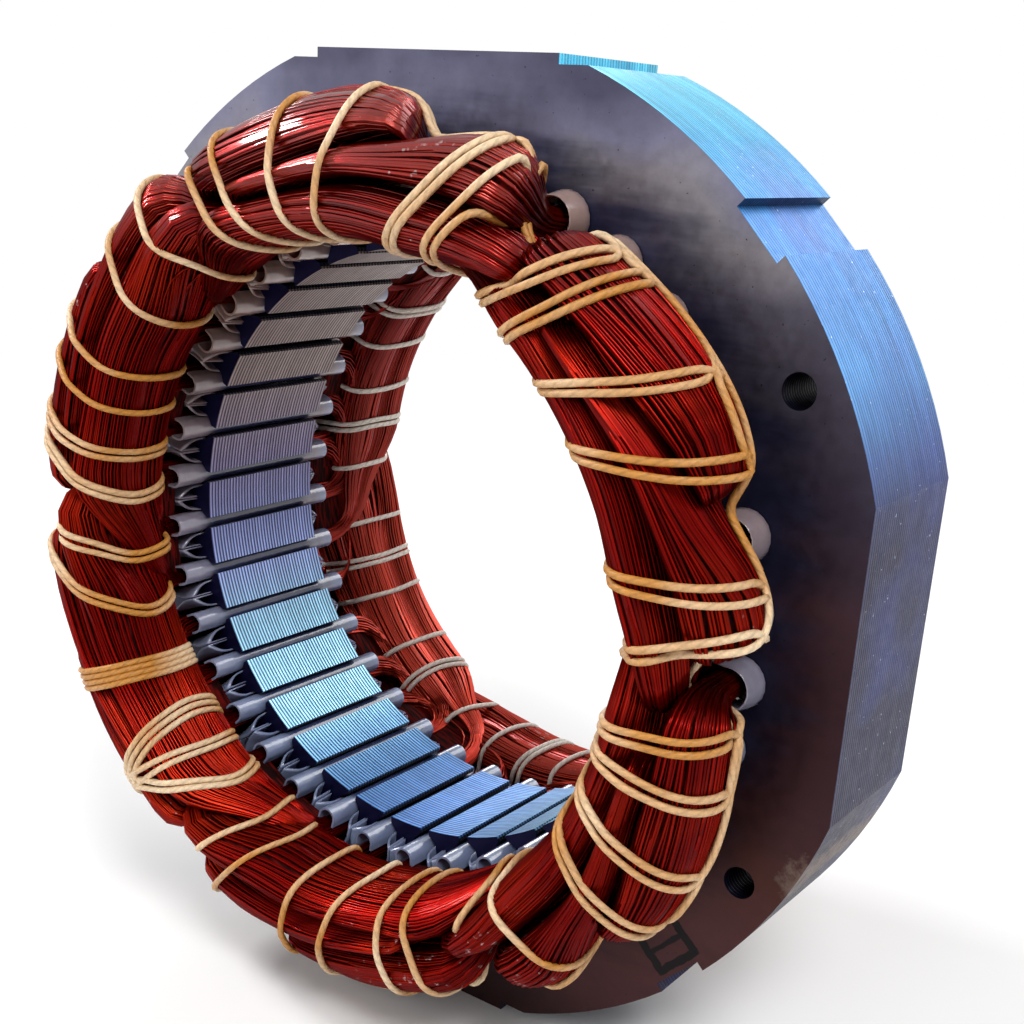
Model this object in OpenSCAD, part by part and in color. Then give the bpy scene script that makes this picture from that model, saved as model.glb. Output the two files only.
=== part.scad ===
// Wound stator of a small six-pole induction motor: a laminated steel core with 36
// slots, film slot insulation, a main and a start winding of concentric coils, and
// the cord that laces the end turns.  Millimetres, axis along Y, standing on a flat.

/* [Core] */
// Diameter of the round parts of the lamination
core_d = 165; // [150:1:200]
// Width across opposite flats of the lamination
flat_w = 158; // [146:1:195]
// Height of the stack of laminations
stack = 27; // [20:1:60]
// Diameter of the bore at the tooth tips
bore_d = 100; // [92:1:104]
// Number of slots
slots = 36; // [30, 36]
// Width of the parallel-sided teeth
tooth_w = 4.2; // [3:0.1:4.6]
// Distance from the axis to the bottom of a slot
slot_bottom_r = 66; // [61:0.5:68]
// Width of a slot's opening to the bore
slot_open = 2; // [1.2:0.1:2.6]
// Thickness of a tooth tip at the slot opening
tip_t = 1; // [0.6:0.1:1.4]
// Height of the slope under a tooth tip
tip_slope = 1.3; // [0.9:0.1:2]
// Thickness of the lamination at each end of the stack
end_lam_t = 0.9; // [0.5:0.1:2]

/* [Core outline] */
// Length of the raised middle of the top and bottom flats
pad_w = 46.6; // [30:0.2:48]
// Step down from a raised flat to its ends
pad_step = 1.5; // [0.8:0.1:3]
// Width of the cleat recess on each diagonal
recess_w = 9.6; // [6:0.2:16]
// Depth of a cleat recess below the round
recess_depth = 1.7; // [0.8:0.1:3]

/* [Bolt holes] */
// Diameter of a through-bolt hole
hole_d = 5.2; // [3:0.1:7]
// Distance between bolt holes across the stator
hole_x = 132; // [126:0.5:136]
// Distance between bolt holes up the stator
hole_z = 75; // [66:0.5:82]

/* [Slot insulation] */
// Thickness of the slot liner film
film_t = 0.4; // [0.2:0.05:0.5]
// Clearance between film and steel
film_gap = 0.12; // [0.08:0.01:0.2]
// Thickness added outside the slot by the folded cuff
cuff_t = 0.8; // [0.3:0.05:1]
// How far a cuff stands out of the core
cuff_out = 5; // [3:0.1:6]
// Half width of the arched slot closure
closure_r = 1.9; // [1.6:0.05:1.95]
// Length of the straight legs of a slot closure
closure_leg = 1.2; // [0.6:0.1:2]
// How far closures and coil sides stand out of the core
side_out = 6; // [5:0.1:8]

/* [Winding] */
// Clearance round the wires in a slot
wire_gap = 0.1; // [0.05:0.01:0.2]
// Gap between the two coil sides of a slot
layer_gap = 0.4; // [0.2:0.1:1]
// Reach of the front end turns from the core's face
front_reach = 26; // [22:0.5:36]
// Reach of the back end turns from the core's face
back_reach = 34; // [24:0.5:42]
// Height of the front end turns above the core between their slots
front_lift = 8; // [7.5:0.5:10]
// Height of the back end turns above the core between their slots
back_lift = 12; // [8:0.5:14]
// Distance from the axis to the inside of the end turns
ring_in = 51.7; // [51.5:0.1:53]
// Distance from the axis to the outside of the end turns by the core
ring_foot = 66.5; // [64:0.5:70]
// How much further the front end turns swell outwards
front_swell = 7.7; // [4:0.1:10]
// How much further the back end turns swell outwards
back_swell = 4; // [2:0.1:10]
// Clearance between coils that lie side by side
coil_gap = 0.4; // [0.3:0.1:0.8]

/* [Lacing] */
// Diameter of the lacing cord
cord_d = 1.2; // [0.8:0.1:1.4]
// Clearance between the lacing and the end turns
cord_gap = 0.3; // [0.1:0.05:0.5]

/* [Hidden] */

round_fn = 128;            // fineness of the large rounds
small_fn = 32;             // fineness of holes and slot bottoms
cut = 1;                   // overshoot of every cutting shape

pitch = 360 / slots;
half_pitch = pitch / 2;
bore_r = bore_d / 2;
core_r = core_d / 2;
axis_z = flat_w / 2;
// The model stands with the middle of its length on the origin.
front_y = -(stack + back_reach - front_reach) / 2;
back_y = front_y + stack;

steel = "#6b6670";
lamination_edge = "#8fa0b8";
film = "#cfcbc4";
copper = "#8f2a1c";
cord = "#d9b36c";

// ---- slot section: x runs outwards from the axis, y across the slot ----

// Half the width between two teeth at distance x
function wall_y(x) = x * tan(half_pitch) - tooth_w / (2 * cos(half_pitch));
bottom_x = (slot_bottom_r + tooth_w / 2) / (1 + sin(half_pitch));
bottom_r = slot_bottom_r - bottom_x;
neck_x = bore_r + tip_t;
shoulder_x = neck_x + tip_slope;
crossing = 0.02;           // makes walls cross the round bottom and not just touch it

// The wide part of a slot from distance x0 outwards, grown by g all round
module slot_body(x0, g) {
  tangent_x = bottom_x - (bottom_r + g) * sin(half_pitch);
  tangent_y = (bottom_r + g) * cos(half_pitch);
  start_y = wall_y(x0) + g / cos(half_pitch);
  polygon([[x0, -start_y], [tangent_x, -tangent_y], [tangent_x, tangent_y], [x0, start_y]]);
  translate([bottom_x, 0]) circle(r = bottom_r + g + crossing, $fn = small_fn);
}

module slot_opening() {
  half = slot_open / 2;
  polygon([
    [bore_r - cut, -half], [neck_x, -half], [shoulder_x, -wall_y(shoulder_x)],
    [shoulder_x, wall_y(shoulder_x)], [neck_x, half], [bore_r - cut, half]
  ]);
}

module slot_section() {
  slot_opening();
  slot_body(shoulder_x, 0);
}

// ---- placing ----

// Draws a flat section in the plane across the axis, from y0 to y1.  The section's x
// and y become the machine's X and Z.
module along_axis(y0, y1) {
  translate([0, y1, axis_z]) rotate([90, 0, 0]) linear_extrude(y1 - y0) children();
}

// Angle of slot number i, with a tooth on each axis of the flats
function slot_angle(i) = (i + 0.5) * pitch;

module at_slots(first, last) {
  for (i = [first:last]) rotate(slot_angle(i)) children();
}

// ---- laminated core ----

module core_outline() {
  difference() {
    intersection() {
      circle(r = core_r, $fn = round_fn);
      square([flat_w, flat_w], center = true);
    }
    for (side_x = [-1, 1], side_y = [-1, 1])
      scale([side_x, side_y])
        translate([pad_w / 2, axis_z - pad_step]) square([core_r, pad_step + cut]);
    for (i = [0:3])
      rotate(45 + 90 * i)
        translate([core_r - recess_depth, -recess_w / 2]) square([recess_depth + cut, recess_w]);
  }
}

module lamination_section() {
  difference() {
    core_outline();
    circle(r = bore_r, $fn = round_fn);
    at_slots(0, slots - 1) slot_section();
    for (side_x = [-1, 1], side_y = [-1, 1])
      translate([side_x * hole_x / 2, side_y * hole_z / 2]) circle(d = hole_d, $fn = small_fn);
  }
}

module core_pack() {
  color(lamination_edge)
    along_axis(front_y + end_lam_t, back_y - end_lam_t) lamination_section();
}

module end_lamination(y0) {
  color(steel) along_axis(y0, y0 + end_lam_t) lamination_section();
}

// ---- slot insulation ----

inner_grow = -film_gap - film_t;
liner_x = shoulder_x + film_gap;

module film_section(outer_grow) {
  difference() {
    slot_body(liner_x, outer_grow);
    slot_body(liner_x - cut, inner_grow);
  }
}

// A folded film that lines one slot, with a cuff at each end that keeps it in place
module slot_liner() {
  along_axis(front_y - cuff_out, back_y + cuff_out) children(0);
  along_axis(front_y - cuff_out, front_y - film_gap) children(1);
  along_axis(back_y + film_gap, back_y + cuff_out) children(1);
}

quarter = slots / 4;
function quarter_first(q) = ceil(quarter * q);
function quarter_last(q) = ceil(quarter * (q + 1)) - 1;

module slot_liners(q) {
  color(film)
    for (i = [quarter_first(q):quarter_last(q)])
      slot_liner() {
        at_slots(i, i) film_section(-film_gap);
        at_slots(i, i) film_section(cuff_t);
      }
}

closure_x = neck_x + film_gap * 3 + closure_r;
closure_t = film_t;

// A film strip bent into an arch that closes the slot towards the bore
module closure_section(r) {
  difference() {
    union() {
      translate([closure_x, 0]) circle(r = r, $fn = small_fn);
      translate([closure_x, -r]) square([closure_leg, 2 * r]);
    }
    translate([closure_x, 0]) circle(r = r - closure_t, $fn = small_fn);
    translate([closure_x, closure_t - r]) square([closure_leg + r + cut, 2 * (r - closure_t)]);
  }
}

module slot_closures(q) {
  color(film)
    along_axis(front_y - side_out, back_y + side_out)
      at_slots(quarter_first(q), quarter_last(q)) closure_section(closure_r);
}

// ---- coil sides: the straight runs of wire inside the slots ----

wire_grow = inner_grow - wire_gap;
bed_r = closure_r - closure_t - wire_gap;
top_x = closure_x + closure_leg + wire_gap;
layer_x = (top_x + slot_bottom_r) / 2 - bottom_r / 4;

module top_side_section() {
  end_x = layer_x - layer_gap / 2;
  translate([closure_x, 0]) circle(r = bed_r, $fn = small_fn);
  translate([closure_x, -bed_r]) square([top_x - closure_x + cut, 2 * bed_r]);
  polygon([
    [top_x, -wall_y(top_x) - wire_grow], [end_x, -wall_y(end_x) - wire_grow],
    [end_x, wall_y(end_x) + wire_grow], [top_x, wall_y(top_x) + wire_grow]
  ]);
}

module top_coil_sides() {
  color(copper)
    along_axis(front_y - side_out, back_y + side_out) at_slots(0, slots - 1) top_side_section();
}

module bottom_coil_sides() {
  color(copper)
    along_axis(front_y - side_out, back_y + side_out)
      at_slots(0, slots - 1) slot_body(layer_x + layer_gap / 2, wire_grow);
}

// ---- end turns: beyond the slots, the coils of both windings are pressed into one
// ring.  It is described by a share, 0 on its inside and 1 on its outside, and a depth
// from the face of the core.  Along the ring, a is the angle from a main pole's middle
// slots, in slot pitches.  The short coil of a main pole lies outermost, its long coil
// comes out from under it, and the start coils lie towards the bore.  The main coils
// fan outwards to the slots they dive into, which leaves a notch between them. ----

poles = 6;
pole_slots = slots / poles;
pole_centre = 4 * pitch;
seat_gap = 0.3;
// The lacing passes between the cuffs and the end turns.
foot = max(side_out + seat_gap, cuff_out + seat_gap + cord_d + cord_gap);
belly_share = 0.4;
crest_share = 0.4;         // where across the ring its face stands highest
bore_power = 2.6;          // roundness of the face towards the bore
outer_power = 1.5;         // roundness of the face towards the outside
start_t = 3;
end_rise = 0.9;
ring_points = 10;
squareness = 0.7;

// Each coil: first and last angle, then its inner and outer edge as [a, share] pairs
short_coil = [
  [-2.1, 1.8],
  [[-2.1, 0.74], [-1.5, 0.7], [-0.5, 0.52], [0.5, 0.46], [1.8, 0.46]],
  [[-2.1, 0.88], [-1.6, 0.98], [-1, 1], [0, 0.93], [0.8, 0.86], [1.8, 0.8]]
];
long_coil = [
  [-3.8, 1],
  [[-3.8, 0.56], [-2.8, 0.46], [-1, 0.4], [0, 0.34], [1, 0.34]],
  [
    [-3.8, 0.86], [-3.2, 1], [-2.7, 0.9], [-2.2, 0.7], [-1.5, 0.66], [-0.5, 0.5],
    [0.3, 0.44], [1, 0.44]
  ]
];
start_coil = [
  [1.8, 9.4],
  [[1.8, 0.3], [2, 0.27], [3.5, 0], [9.4, 0]],
  [
    [1.8, 0.5], [2.2, 0.54], [3.2, 0.44], [5, 0.38], [5.8, 0.33], [7, 0.33], [7.3, 0.42],
    [7.6, 0.42], [7.8, 0.26], [9.4, 0.02]
  ]
];

function signed_pow(v, p) = sign(v) * pow(abs(v), p);

// Depth at which the ring is widest
function belly(reach) = foot + belly_share * (reach - foot);

// Distance of a point of the ring from the axis
function ring_r(share, depth, reach, swell) =
  let (rise = max(0, min(1, (depth - foot) / (belly(reach) - foot))))
  ring_in + share * (ring_foot + swell * sin(90 * rise) - ring_in);

// Depth of the ring's rounded face
function ring_face(share, reach) =
  let (
    power = share < crest_share ? bore_power : outer_power,
    width = share < crest_share ? crest_share : 1 - crest_share,
    off_crest = min(1, abs(share - crest_share) / width)
  )
  belly(reach) + (reach - belly(reach)) * pow(1 - pow(off_crest, power), 1 / power);

// How far a coil has risen from its slots, 0 to 1, that many pitches from its end
function risen(from_end) = sqrt(max(0, min(1, from_end / end_rise)));

// One section of a coil at angle a: [radius, depth] points
function coil_section(coil, a, reach, lift, swell) =
  let (
    from_end = min(a - coil[0][0], coil[0][1] - a),
    side_gap = coil_gap / (2 * (ring_foot - ring_in)),
    inner = lookup(a, coil[1]) + side_gap,
    outer = max(lookup(a, coil[2]) - side_gap, inner + 2 * side_gap),
    low = foot + (lift - foot) * risen(from_end)
  )
  [for (k = [0:ring_points - 1])
    let (
      t = 360 * (k + 0.5) / ring_points,
      share = ((outer + inner) + (outer - inner) * signed_pow(cos(t), squareness)) / 2,
      high = foot + start_t + (ring_face(share, reach) - foot - start_t) * risen(from_end),
      depth = ((high + low) + (high - low) * signed_pow(sin(t), squareness)) / 2
    )
    [ring_r(share, depth, reach, swell), depth]];

// A coil's end turn at pole number index; side is -1 for the front, 1 for the back
module end_turn(coil, index, side, reach, lift, swell) {
  face_y = side < 0 ? front_y : back_y;
  first = coil[0][0];
  last = coil[0][1];
  stations = ceil((last - first) * 2.4);
  points = [
    for (s = [0:stations])
      let (
        a = first + (last - first) * s / stations,
        turn = pole_centre + (a + index * pole_slots) * pitch
      )
      for (p = coil_section(coil, a, reach, lift, swell))
        [p[0] * cos(turn), face_y + side * p[1], axis_z + p[0] * sin(turn)]
  ];
  skin = [
    for (s = [0:stations - 1], k = [0:ring_points - 1])
      let (
        a = s * ring_points + k,
        b = s * ring_points + (k + 1) % ring_points,
        c = b + ring_points,
        d = a + ring_points
      )
      for (corner = [[a, b, c], [a, c, d]]) corner
  ];
  first_cap = [for (k = [ring_points - 1:-1:0]) k];
  last_cap = [for (k = [0:ring_points - 1]) stations * ring_points + k];
  faces = concat(skin, [first_cap], [last_cap]);
  facing_out = side < 0 ? faces : [for (face = faces) [for (k = [len(face) - 1:-1:0]) face[k]]];
  polyhedron(points = points, faces = facing_out, convexity = 6);
}

module main_coils(index, side, reach, lift, swell) {
  color(copper) {
    end_turn(short_coil, index, side, reach, lift, swell);
    end_turn(long_coil, index, side, reach, lift, swell);
  }
}

module start_coils(index, side, reach, lift, swell) {
  color(copper) end_turn(start_coil, index, side, reach, lift, swell);
}

module front_main_coils(index) {
  main_coils(index, -1, front_reach, front_lift, front_swell);
}

module front_start_coils(index) {
  start_coils(index, -1, front_reach, front_lift, front_swell);
}

module back_main_coils(index) {
  main_coils(index, 1, back_reach, back_lift, back_swell);
}

module back_start_coils(index) {
  start_coils(index, 1, back_reach, back_lift, back_swell);
}

// ---- lacing: turns of cord round the end turns, joined by a run along their outside ----

// Direction square to the edge from one point to the next, out of the shape
function edge_normal(from, to) =
  let (step = to - from)
  [step[1], -step[0]] / norm(step);

// Outline around a convex shape, a distance r outside all its edges
function around(points, r) =
  let (n = len(points))
  [for (i = [0:n - 1])
    let (
      before = edge_normal(points[(i + n - 1) % n], points[i]),
      after = edge_normal(points[i], points[(i + 1) % n])
    )
    points[i] + r * (before + after) / (1 + before * after)];

face_shares = [0.98, 0.92, 0.82, 0.7, 0.56, 0.4, 0.24, 0.12, 0.04, 0.01];
belly_steps = 3;

// Section through the whole ring: x is the distance from the axis, y the depth
function ring_outline(reach, swell) = concat(
  [[ring_in, foot]],
  [for (i = [0:belly_steps])
    let (depth = foot + (belly(reach) - foot) * i / belly_steps)
    [ring_r(1, depth, reach, swell), depth]],
  [for (share = face_shares)
    let (depth = ring_face(share, reach))
    [ring_r(share, depth, reach, swell), depth]],
  [[ring_in, belly(reach)]]
);

// One turn of the cord, flat in a plane of the axis
module cord_turn(reach, swell) {
  outside = around(ring_outline(reach, swell), cord_gap + cord_d);
  inside = around(ring_outline(reach, swell), cord_gap);
  n = len(outside);
  polygon(
    points = concat(outside, inside),
    paths = [[for (i = [0:n - 1]) i], [for (i = [0:n - 1]) n + i]]
  );
}

// Where the cord turns lie beside a tooth: two at every third tooth, else one
function turn_offsets(i) = i % 3 == 0 ? [-0.6 * cord_d, 0.6 * cord_d] : [0];

module lacing(side, reach, swell) {
  face_y = side < 0 ? front_y : back_y;
  run_r = ring_r(1, belly(reach), reach, swell) + cord_gap;
  color(cord)
    translate([0, face_y, axis_z])
      mirror([0, side < 0 ? 1 : 0, 0]) {
        for (i = [0:slots - 1])
          for (offset = turn_offsets(i))
            rotate([0, -i * pitch, 0])
              translate([0, 0, offset - cord_d / 2]) linear_extrude(cord_d) cord_turn(reach, swell);
        rotate([-90, 0, 0])
          translate([0, 0, belly(reach) - cord_d / 2])
            difference() {
              cylinder(r = run_r + cord_d, h = cord_d, $fn = round_fn);
              translate([0, 0, -cut]) cylinder(r = run_r, h = cord_d + 2 * cut, $fn = round_fn);
            }
      }
}

core_pack();
end_lamination(front_y);  // front_end_lamination
end_lamination(back_y - end_lam_t);  // back_end_lamination
slot_liners(0);  // slot_liners_a
slot_liners(1);  // slot_liners_b
slot_liners(2);  // slot_liners_c
slot_liners(3);  // slot_liners_d
slot_closures(0);  // slot_closures_a
slot_closures(1);  // slot_closures_b
slot_closures(2);  // slot_closures_c
slot_closures(3);  // slot_closures_d
bottom_coil_sides();
top_coil_sides();
front_main_coils(0);  // front_main_coils_1
front_main_coils(1);  // front_main_coils_2
front_main_coils(2);  // front_main_coils_3
front_main_coils(3);  // front_main_coils_4
front_main_coils(4);  // front_main_coils_5
front_main_coils(5);  // front_main_coils_6
front_start_coils(0);  // front_start_coils_1
front_start_coils(1);  // front_start_coils_2
front_start_coils(2);  // front_start_coils_3
front_start_coils(3);  // front_start_coils_4
front_start_coils(4);  // front_start_coils_5
front_start_coils(5);  // front_start_coils_6
back_main_coils(0);  // back_main_coils_1
back_main_coils(1);  // back_main_coils_2
back_main_coils(2);  // back_main_coils_3
back_main_coils(3);  // back_main_coils_4
back_main_coils(4);  // back_main_coils_5
back_main_coils(5);  // back_main_coils_6
back_start_coils(0);  // back_start_coils_1
back_start_coils(1);  // back_start_coils_2
back_start_coils(2);  // back_start_coils_3
back_start_coils(3);  // back_start_coils_4
back_start_coils(4);  // back_start_coils_5
back_start_coils(5);  // back_start_coils_6
lacing(-1, front_reach, front_swell);  // front_lacing
lacing(1, back_reach, back_swell);  // back_lacing
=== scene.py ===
"""The looks of a wound motor stator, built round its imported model."""

import math
import random

import bmesh
import bpy
from mathutils import Matrix, Vector, geometry, noise


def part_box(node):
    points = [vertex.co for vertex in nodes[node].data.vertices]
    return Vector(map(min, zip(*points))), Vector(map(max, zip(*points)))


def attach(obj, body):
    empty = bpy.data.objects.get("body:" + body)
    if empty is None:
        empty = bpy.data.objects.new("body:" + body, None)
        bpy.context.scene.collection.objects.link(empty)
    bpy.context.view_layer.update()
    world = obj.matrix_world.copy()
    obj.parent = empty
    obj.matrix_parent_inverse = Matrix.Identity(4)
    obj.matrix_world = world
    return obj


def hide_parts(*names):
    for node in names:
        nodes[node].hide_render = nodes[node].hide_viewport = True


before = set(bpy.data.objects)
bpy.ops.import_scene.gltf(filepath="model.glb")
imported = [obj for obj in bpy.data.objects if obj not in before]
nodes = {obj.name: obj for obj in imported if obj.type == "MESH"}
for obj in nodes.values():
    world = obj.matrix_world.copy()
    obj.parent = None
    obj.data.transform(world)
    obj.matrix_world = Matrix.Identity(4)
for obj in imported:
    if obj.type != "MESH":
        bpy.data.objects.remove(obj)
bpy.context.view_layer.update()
scene = bpy.context.scene
MM = 0.001

# ---- Camera ----
# A normal lens close in front and to the right, looking slightly down into the bore.
# The frame keeps the upper part of what the lens sees.

camera_data = bpy.data.cameras.new("camera")
camera_data.lens = 50.95
camera_data.sensor_width = 36
camera_data.shift_y = 0.134
camera_data.clip_start = 0.01
camera = bpy.data.objects.new("camera", camera_data)
scene.collection.objects.link(camera)
scene.camera = camera
camera.matrix_world = (
    Matrix.Translation((0.1492, -0.199, 0.1484))
    @ Matrix.Rotation(math.radians(35.2), 4, "Z")
    @ Matrix.Rotation(math.radians(90 - 19.94), 4, "X")
    @ Matrix.Rotation(math.radians(3.35), 4, "Z")
)

# ---- Laminated core ----
# Punched sheets of electrical steel, stacked into one pack. The rolled faces keep a
# dull blue-violet oxide; the cut edges are bare and show each sheet as a fine bright
# line. The two end sheets and the pack share this steel.

front_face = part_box("front_end_lamination")[0].y / MM
back_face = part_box("back_end_lamination")[1].y / MM
axis_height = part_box("core_pack")[1].z / MM / 2
# In mm: the thickness of a sheet, a radius just past each through hole's wall, and the
# hole's place from the bore's axis.
sheet = 0.75
hole_r, hole_place = 3.2, (66, 0, 37.5)


def linear(colour):
    """An sRGB hex colour as the linear numbers that a shader takes."""
    parts = [int(colour[i : i + 2], 16) / 255 for i in (1, 3, 5)]
    return tuple(p / 12.92 if p <= 0.04045 else ((p + 0.055) / 1.055) ** 2.4 for p in parts) + (1,)


def new_material(name):
    """A material's tree and its main shader."""
    material = bpy.data.materials.new(name)
    material.use_nodes = True
    return material, material.node_tree, material.node_tree.nodes["Principled BSDF"]


def add(tree, kind, inputs=None, output=0, stops=(), **settings):
    """Adds a node with its settings, and its inputs as values or links. Gives one output.

    A colour ramp takes its stops as (place, hex colour) pairs.
    """
    made = tree.nodes.new("ShaderNode" + kind)
    for k, (at, colour) in enumerate(stops):
        elements = made.color_ramp.elements
        stop = elements[k] if k < 2 else elements.new(at)
        stop.position, stop.color = at, linear(colour)
    for name, value in settings.items():
        setattr(made, name, value)
    for name, value in (inputs or {}).items():
        if isinstance(value, bpy.types.NodeSocket):
            tree.links.new(value, made.inputs[name])
        else:
            made.inputs[name].default_value = value
    return made.outputs[output]


def from_axis(tree):
    """The place in millimetres from the bore's axis, whole and as its X, Y and Z."""
    place = add(tree, "TexCoord", output="Object")
    place = add(
        tree, "Mapping", {"Vector": place, "Scale": (1 / MM,) * 3, "Location": (0, 0, -axis_height)}
    )
    return place, add(tree, "SeparateXYZ", {0: place}).node.outputs


steel, tree, shader = new_material("electrical_steel_rolled_and_punched")
place, axes = from_axis(tree)
across = add(tree, "VectorMath", {0: place, 1: (1, 0, 1)}, operation="MULTIPLY")
radius = add(tree, "VectorMath", {0: across}, output="Value", operation="LENGTH")
normal = add(tree, "NewGeometry", output="Normal")
facing = add(
    tree, "VectorMath", {0: normal, 1: (0, 1, 0)}, output="Value", operation="DOT_PRODUCT"
)
facing = add(tree, "Math", {0: facing}, operation="ABSOLUTE")
on_face = add(tree, "Math", {0: facing, 1: 0.5}, operation="GREATER_THAN")

# Rolled face: violet grey above and brown below. This is partly the oxide's tint and partly painted
# light: lighter where light falls on the upper face, darker lower down. A blue-black painted shade
# lies round the slots.
cloud = add(tree, "TexNoise", {"Vector": place, "Scale": 0.03, "Detail": 3, "Roughness": 0.5})
upward = add(tree, "Math", {0: cloud, 1: 50, 2: axes["Z"]}, operation="MULTIPLY_ADD")
upward = add(tree, "MapRange", {0: upward, 1: -55, 2: 105})
face_stops = (
    (0, "#301c1d"), (0.12, "#452628"), (0.26, "#41211c"), (0.36, "#361c20"), (0.44, "#321a20"),
    (0.56, "#3a242b"), (0.67, "#322b3b"), (0.81, "#575563"), (0.88, "#858289"), (0.93, "#72728a"),
    (1, "#454459"),
)
face = add(tree, "ValToRGB", {"Fac": upward}, stops=face_stops)
streak_place = add(
    tree, "Mapping", {"Vector": place, "Rotation": (0, 0.9, 0), "Scale": (0.02, 1, 0.14)}
)
soft_streaks = add(
    tree, "TexNoise", {"Vector": streak_place, "Scale": 1, "Detail": 4, "Roughness": 0.6}
)
# Painted shade: a streaky blue-black shade on the face round the slots and the windings.
painted_shade_near_slots = add(tree, "Math", {0: soft_streaks, 1: 26, 2: radius}, operation="MULTIPLY_ADD")
painted_shade_near_slots = add(tree, "MapRange", {0: painted_shade_near_slots, 1: 77, 2: 89}, interpolation_type="SMOOTHSTEP")
painted_shade_colour = add(
    tree, "MixRGB", {"Fac": upward, "Color1": linear("#160b0d"), "Color2": linear("#2c3152")}
)
# Painted shade: the teeth's front ends are a darker navy, as in shade.
tooth_front = add(tree, "MapRange", {0: radius, 1: 56, 2: 62, 3: 1, 4: 0})
painted_shade_colour = add(
    tree, "MixRGB", {"Fac": tooth_front, "Color1": painted_shade_colour, "Color2": linear("#100e38")}
)
face = add(tree, "MixRGB", {"Fac": painted_shade_near_slots, "Color1": painted_shade_colour, "Color2": face})
mottle = add(tree, "TexNoise", {"Vector": place, "Scale": 0.5, "Detail": 7, "Roughness": 0.65})
mottle_shade = add(tree, "MapRange", {0: mottle, 1: 0.3, 2: 0.7, 3: 0.86, 4: 1.1})
streak_shade = add(tree, "MapRange", {0: soft_streaks, 1: 0.3, 2: 0.7, 3: 0.86, 4: 1.1})
shade = add(tree, "Math", {0: mottle_shade, 1: streak_shade}, operation="MULTIPLY")
face = add(tree, "MixRGB", {"Fac": 1, "Color1": face, "Color2": shade}, blend_type="MULTIPLY")
spots = add(tree, "TexNoise", {"Vector": place, "Scale": 1.5, "Detail": 2, "Roughness": 0.5})
spots = add(tree, "MapRange", {0: spots, 1: 0.73, 2: 0.76, 4: 0.7})
face = add(tree, "MixRGB", {"Fac": spots, "Color1": face, "Color2": linear("#1a1514")})

# An inspection stamp in black ink on the front sheet, low on the right: a frame round a
# bar. It is worked out in half widths and half heights from the stamp's middle.
stamp_r, stamp_turn = 76, math.radians(-44)
half_size = (1 / 3.6, 0, 1 / 4.3)
stamp_place = add(tree, "Mapping", {"Vector": place, "Rotation": (0, stamp_turn, 0)})
stamp_place = add(tree, "VectorMath", {0: stamp_place, 1: (stamp_r, 0, 0)}, operation="SUBTRACT")
stamp_place = add(tree, "VectorMath", {0: stamp_place, 1: half_size}, operation="MULTIPLY")
stamp_place = add(tree, "VectorMath", {0: stamp_place}, operation="ABSOLUTE")
stamp_axes = add(tree, "SeparateXYZ", {0: stamp_place}).node.outputs
stamp = add(tree, "Math", {0: stamp_axes["X"], 1: stamp_axes["Z"]}, operation="MAXIMUM")
ink = add(tree, "Math", {0: mottle, 1: 0.3, 2: stamp}, operation="MULTIPLY_ADD")
ink = add(tree, "Math", {0: ink, 1: 1.08}, operation="SUBTRACT")
ink = add(tree, "Math", {0: ink}, operation="ABSOLUTE")
ink = add(tree, "MapRange", {0: ink, 1: 0.16, 2: 0.2, 3: 0.97, 4: 0})
bar = add(tree, "Math", {0: mottle, 1: 0.3, 2: stamp_axes["X"]}, operation="MULTIPLY_ADD")
bar = add(tree, "MapRange", {0: bar, 1: 0.24, 2: 0.3, 3: 0.95, 4: 0})
within = add(tree, "Math", {0: stamp, 1: 0.92}, operation="LESS_THAN")
bar = add(tree, "Math", {0: bar, 1: within}, operation="MULTIPLY")
ink = add(tree, "Math", {0: ink, 1: bar}, operation="MAXIMUM")
in_front = add(tree, "Math", {0: axes["Y"], 1: 0}, operation="LESS_THAN")
ink = add(tree, "Math", {0: ink, 1: in_front}, operation="MULTIPLY")
face = add(tree, "MixRGB", {"Fac": ink, "Color1": face, "Color2": linear("#0c0a0c")})

# Cut edges: one light line for each sheet with a dark seam between.
count = add(tree, "Math", {0: axes["Y"], 1: 1 / sheet, 2: 100.3}, operation="MULTIPLY_ADD")
across_sheet = add(tree, "Math", {0: count}, operation="FRACT")
sheet_number = add(tree, "Math", {0: count}, operation="FLOOR")
seam = add(tree, "Math", {0: across_sheet, 1: 0.5}, operation="SUBTRACT")
seam = add(tree, "Math", {0: seam}, operation="ABSOLUTE")
sheet_tone = add(tree, "TexWhiteNoise", {"W": sheet_number}, noise_dimensions="1D")
# Painted reflection: the cut edges take their colour from height, brown at the bottom, dark violet
# through the middle, blue above and cyan at the top, as though a blue sky light fell on them from
# above.
edge_height = add(tree, "MapRange", {0: axes["Z"], 1: -80, 2: 80})
edge_stops = (
    (0, "#30241f"), (0.31, "#38303c"), (0.37, "#2b2b4c"), (0.6, "#2d2d50"), (0.64, "#3a3f68"),
    (0.68, "#516ca5"), (0.74, "#60a0dc"), (0.81, "#3877b6"), (0.87, "#2470b2"), (0.93, "#2b97c5"),
    (0.98, "#6cd6f5"),
)
edge = add(tree, "ValToRGB", {"Fac": edge_height}, stops=edge_stops)
wear_place = add(tree, "Mapping", {"Vector": place, "Scale": (0.08, 0.5, 0.08)})
wear = add(tree, "TexNoise", {"Vector": wear_place, "Scale": 1, "Detail": 6, "Roughness": 0.65})
wear = add(tree, "MapRange", {0: wear, 1: 0.3, 2: 0.7, 3: 0.78, 4: 1.22})
edge = add(tree, "MixRGB", {"Fac": 1, "Color1": edge, "Color2": wear}, blend_type="MULTIPLY")
tinge = add(tree, "TexNoise", {"Vector": place, "Scale": 0.045, "Detail": 2, "Roughness": 0.5})
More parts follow.
